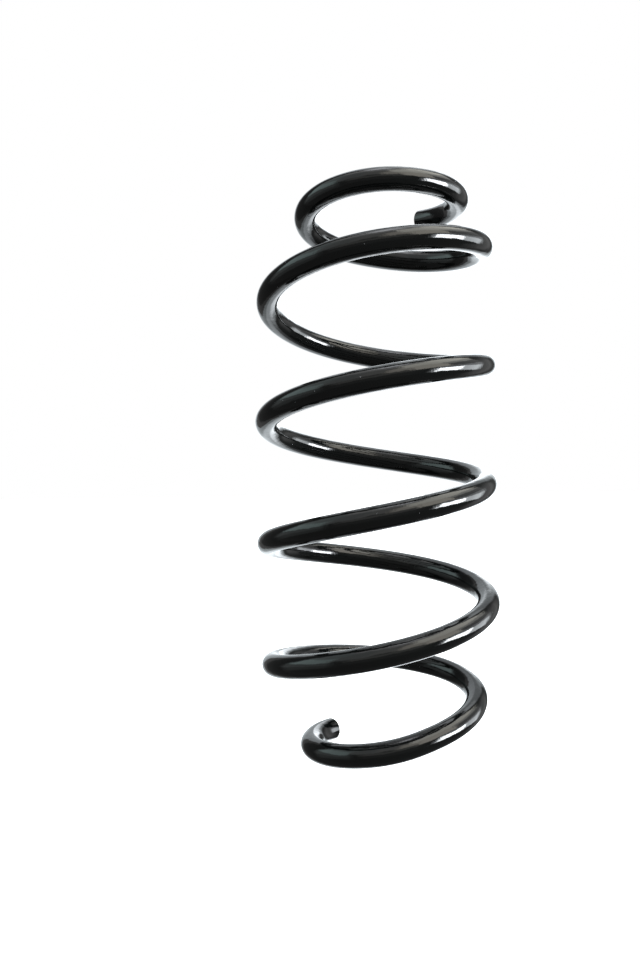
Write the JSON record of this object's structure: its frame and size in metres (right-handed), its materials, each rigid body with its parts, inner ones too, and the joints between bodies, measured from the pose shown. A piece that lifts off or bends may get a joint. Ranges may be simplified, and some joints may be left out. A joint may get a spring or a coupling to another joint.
{
  "type": "coil spring",
  "caption": "Right-hand helical compression spring of round bar with a smaller end coil at each end, for a suspension strut; closes up along its axis.",
  "frame": {"origin": "on the coil's axis at the lower seat, level with the underside of the lower end coil", "axes": "+Z along the coil's axis from the lower seat to the upper one, -Y to the front, +X to the right"},
  "size_m": [0.1488, 0.1539, 0.3534],
  "materials": {
    "black_paint": "gloss"
  },
  "bodies": {
    "lower_end_coil": {"lower_end_coil_1": "black_paint", "lower_end_coil_2": "black_paint", "lower_end_coil_3": "black_paint", "lower_end_coil_4": "black_paint"},
    "active_coil_01": {"active_coil_01": "black_paint"},
    "active_coil_02": {"active_coil_02": "black_paint"},
    "active_coil_03": {"active_coil_03": "black_paint"},
    "active_coil_04": {"active_coil_04": "black_paint"},
    "active_coil_05": {"active_coil_05": "black_paint"},
    "active_coil_06": {"active_coil_06": "black_paint"},
    "active_coil_07": {"active_coil_07": "black_paint"},
    "active_coil_08": {"active_coil_08": "black_paint"},
    "active_coil_09": {"active_coil_09": "black_paint"},
    "active_coil_10": {"active_coil_10": "black_paint"},
    "active_coil_11": {"active_coil_11": "black_paint"},
    "active_coil_12": {"active_coil_12": "black_paint"},
    "active_coil_13": {"active_coil_13": "black_paint"},
    "active_coil_14": {"active_coil_14": "black_paint"},
    "active_coil_15": {"active_coil_15": "black_paint"},
    "active_coil_16": {"active_coil_16": "black_paint"},
    "active_coil_17": {"active_coil_17": "black_paint"},
    "active_coil_18": {"active_coil_18": "black_paint"},
    "active_coil_19": {"active_coil_19": "black_paint"},
    "active_coil_20": {"active_coil_20": "black_paint"},
    "active_coil_21": {"active_coil_21": "black_paint"},
    "active_coil_22": {"active_coil_22": "black_paint"},
    "active_coil_23": {"active_coil_23": "black_paint"},
    "active_coil_24": {"active_coil_24": "black_paint"},
    "active_coil_25": {"active_coil_25": "black_paint"},
    "active_coil_26": {"active_coil_26": "black_paint"},
    "active_coil_27": {"active_coil_27": "black_paint"},
    "active_coil_28": {"active_coil_28": "black_paint"},
    "active_coil_29": {"active_coil_29": "black_paint"},
    "active_coil_30": {"active_coil_30": "black_paint"},
    "active_coil_31": {"active_coil_31": "black_paint"},
    "active_coil_32": {"active_coil_32": "black_paint"},
    "active_coil_33": {"active_coil_33": "black_paint"},
    "active_coil_34": {"active_coil_34": "black_paint"},
    "upper_end_coil": {"upper_end_coil_1": "black_paint", "upper_end_coil_2": "black_paint", "upper_end_coil_3": "black_paint", "upper_end_coil_4": "black_paint", "upper_end_coil_5": "black_paint", "upper_end_coil_6": "black_paint", "upper_end_coil_7": "black_paint", "upper_end_coil_8": "black_paint"}
  },
  "joints": [
    {"name": "compression", "type": "slide", "parent": "lower_end_coil", "child": "upper_end_coil", "axis": [0, 0, -1], "range_m": [0, 0.18], "stiffness_N_per_m": 38000},
    {"name": "squeeze_01", "type": "slide", "parent": "lower_end_coil", "child": "active_coil_01", "axis": [0, 0, -1], "range_m": [0, 0.000675]},
    {"name": "squeeze_02", "type": "slide", "parent": "lower_end_coil", "child": "active_coil_02", "axis": [0, 0, -1], "range_m": [0, 0.00387]},
    {"name": "squeeze_03", "type": "slide", "parent": "lower_end_coil", "child": "active_coil_03", "axis": [0, 0, -1], "range_m": [0, 0.00923]},
    {"name": "squeeze_04", "type": "slide", "parent": "lower_end_coil", "child": "active_coil_04", "axis": [0, 0, -1], "range_m": [0, 0.01481]},
    {"name": "squeeze_05", "type": "slide", "parent": "lower_end_coil", "child": "active_coil_05", "axis": [0, 0, -1], "range_m": [0, 0.0204]},
    {"name": "squeeze_06", "type": "slide", "parent": "lower_end_coil", "child": "active_coil_06", "axis": [0, 0, -1], "range_m": [0, 0.02598]},
    {"name": "squeeze_07", "type": "slide", "parent": "lower_end_coil", "child": "active_coil_07", "axis": [0, 0, -1], "range_m": [0, 0.03156]},
    {"name": "squeeze_08", "type": "slide", "parent": "lower_end_coil", "child": "active_coil_08", "axis": [0, 0, -1], "range_m": [0, 0.03714]},
    {"name": "squeeze_09", "type": "slide", "parent": "lower_end_coil", "child": "active_coil_09", "axis": [0, 0, -1], "range_m": [0, 0.04273]},
    {"name": "squeeze_10", "type": "slide", "parent": "lower_end_coil", "child": "active_coil_10", "axis": [0, 0, -1], "range_m": [0, 0.04831]},
    {"name": "squeeze_11", "type": "slide", "parent": "lower_end_coil", "child": "active_coil_11", "axis": [0, 0, -1], "range_m": [0, 0.05389]},
    {"name": "squeeze_12", "type": "slide", "parent": "lower_end_coil", "child": "active_coil_12", "axis": [0, 0, -1], "range_m": [0, 0.05948]},
    {"name": "squeeze_13", "type": "slide", "parent": "lower_end_coil", "child": "active_coil_13", "axis": [0, 0, -1], "range_m": [0, 0.06506]},
    {"name": "squeeze_14", "type": "slide", "parent": "lower_end_coil", "child": "active_coil_14", "axis": [0, 0, -1], "range_m": [0, 0.07064]},
    {"name": "squeeze_15", "type": "slide", "parent": "lower_end_coil", "child": "active_coil_15", "axis": [0, 0, -1], "range_m": [0, 0.07623]},
    {"name": "squeeze_16", "type": "slide", "parent": "lower_end_coil", "child": "active_coil_16", "axis": [0, 0, -1], "range_m": [0, 0.08181]},
    {"name": "squeeze_17", "type": "slide", "parent": "lower_end_coil", "child": "active_coil_17", "axis": [0, 0, -1], "range_m": [0, 0.08739]},
    {"name": "squeeze_18", "type": "slide", "parent": "lower_end_coil", "child": "active_coil_18", "axis": [0, 0, -1], "range_m": [0, 0.09298]},
    {"name": "squeeze_19", "type": "slide", "parent": "lower_end_coil", "child": "active_coil_19", "axis": [0, 0, -1], "range_m": [0, 0.09856]},
    {"name": "squeeze_20", "type": "slide", "parent": "lower_end_coil", "child": "active_coil_20", "axis": [0, 0, -1], "range_m": [0, 0.10414]},
    {"name": "squeeze_21", "type": "slide", "parent": "lower_end_coil", "child": "active_coil_21", "axis": [0, 0, -1], "range_m": [0, 0.10972]},
    {"name": "squeeze_22", "type": "slide", "parent": "lower_end_coil", "child": "active_coil_22", "axis": [0, 0, -1], "range_m": [0, 0.11531]},
    {"name": "squeeze_23", "type": "slide", "parent": "lower_end_coil", "child": "active_coil_23", "axis": [0, 0, -1], "range_m": [0, 0.12089]},
    {"name": "squeeze_24", "type": "slide", "parent": "lower_end_coil", "child": "active_coil_24", "axis": [0, 0, -1], "range_m": [0, 0.12647]},
    {"name": "squeeze_25", "type": "slide", "parent": "lower_end_coil", "child": "active_coil_25", "axis": [0, 0, -1], "range_m": [0, 0.13206]},
    {"name": "squeeze_26", "type": "slide", "parent": "lower_end_coil", "child": "active_coil_26", "axis": [0, 0, -1], "range_m": [0, 0.13764]},
    {"name": "squeeze_27", "type": "slide", "parent": "lower_end_coil", "child": "active_coil_27", "axis": [0, 0, -1], "range_m": [0, 0.14322]},
    {"name": "squeeze_28", "type": "slide", "parent": "lower_end_coil", "child": "active_coil_28", "axis": [0, 0, -1], "range_m": [0, 0.1488]},
    {"name": "squeeze_29", "type": "slide", "parent": "lower_end_coil", "child": "active_coil_29", "axis": [0, 0, -1], "range_m": [0, 0.15439]},
    {"name": "squeeze_30", "type": "slide", "parent": "lower_end_coil", "child": "active_coil_30", "axis": [0, 0, -1], "range_m": [0, 0.15997]},
    {"name": "squeeze_31", "type": "slide", "parent": "lower_end_coil", "child": "active_coil_31", "axis": [0, 0, -1], "range_m": [0, 0.16555]},
    {"name": "squeeze_32", "type": "slide", "parent": "lower_end_coil", "child": "active_coil_32", "axis": [0, 0, -1], "range_m": [0, 0.17114]},
    {"name": "squeeze_33", "type": "slide", "parent": "lower_end_coil", "child": "active_coil_33", "axis": [0, 0, -1], "range_m": [0, 0.17665]},
    {"name": "squeeze_34", "type": "slide", "parent": "lower_end_coil", "child": "active_coil_34", "axis": [0, 0, -1], "range_m": [0, 0.18029]}
  ],
  "couplings": [
    {"joint": "squeeze_01", "follows": "compression", "ratio": 0.000974},
    {"joint": "squeeze_02", "follows": "compression", "ratio": 0.01871},
    {"joint": "squeeze_03", "follows": "compression", "ratio": 0.0485},
    {"joint": "squeeze_04", "follows": "compression", "ratio": 0.079517},
    {"joint": "squeeze_05", "follows": "compression", "ratio": 0.11053},
    {"joint": "squeeze_06", "follows": "compression", "ratio": 0.14155},
    {"joint": "squeeze_07", "follows": "compression", "ratio": 0.17257},
    {"joint": "squeeze_08", "follows": "compression", "ratio": 0.20358},
    {"joint": "squeeze_09", "follows": "compression", "ratio": 0.2346},
    {"joint": "squeeze_10", "follows": "compression", "ratio": 0.26562},
    {"joint": "squeeze_11", "follows": "compression", "ratio": 0.29663},
    {"joint": "squeeze_12", "follows": "compression", "ratio": 0.32765},
    {"joint": "squeeze_13", "follows": "compression", "ratio": 0.35867},
    {"joint": "squeeze_14", "follows": "compression", "ratio": 0.38968},
    {"joint": "squeeze_15", "follows": "compression", "ratio": 0.4207},
    {"joint": "squeeze_16", "follows": "compression", "ratio": 0.45172},
    {"joint": "squeeze_17", "follows": "compression", "ratio": 0.48273},
    {"joint": "squeeze_18", "follows": "compression", "ratio": 0.51375},
    {"joint": "squeeze_19", "follows": "compression", "ratio": 0.54477},
    {"joint": "squeeze_20", "follows": "compression", "ratio": 0.57578},
    {"joint": "squeeze_21", "follows": "compression", "ratio": 0.6068},
    {"joint": "squeeze_22", "follows": "compression", "ratio": 0.63782},
    {"joint": "squeeze_23", "follows": "compression", "ratio": 0.66883},
    {"joint": "squeeze_24", "follows": "compression", "ratio": 0.69985},
    {"joint": "squeeze_25", "follows": "compression", "ratio": 0.73087},
    {"joint": "squeeze_26", "follows": "compression", "ratio": 0.76189},
    {"joint": "squeeze_27", "follows": "compression", "ratio": 0.7929},
    {"joint": "squeeze_28", "follows": "compression", "ratio": 0.82392},
    {"joint": "squeeze_29", "follows": "compression", "ratio": 0.85494},
    {"joint": "squeeze_30", "follows": "compression", "ratio": 0.88595},
    {"joint": "squeeze_31", "follows": "compression", "ratio": 0.91697},
    {"joint": "squeeze_32", "follows": "compression", "ratio": 0.94798},
    {"joint": "squeeze_33", "follows": "compression", "ratio": 0.97863},
    {"joint": "squeeze_34", "follows": "compression", "ratio": 0.99885}
  ]
}
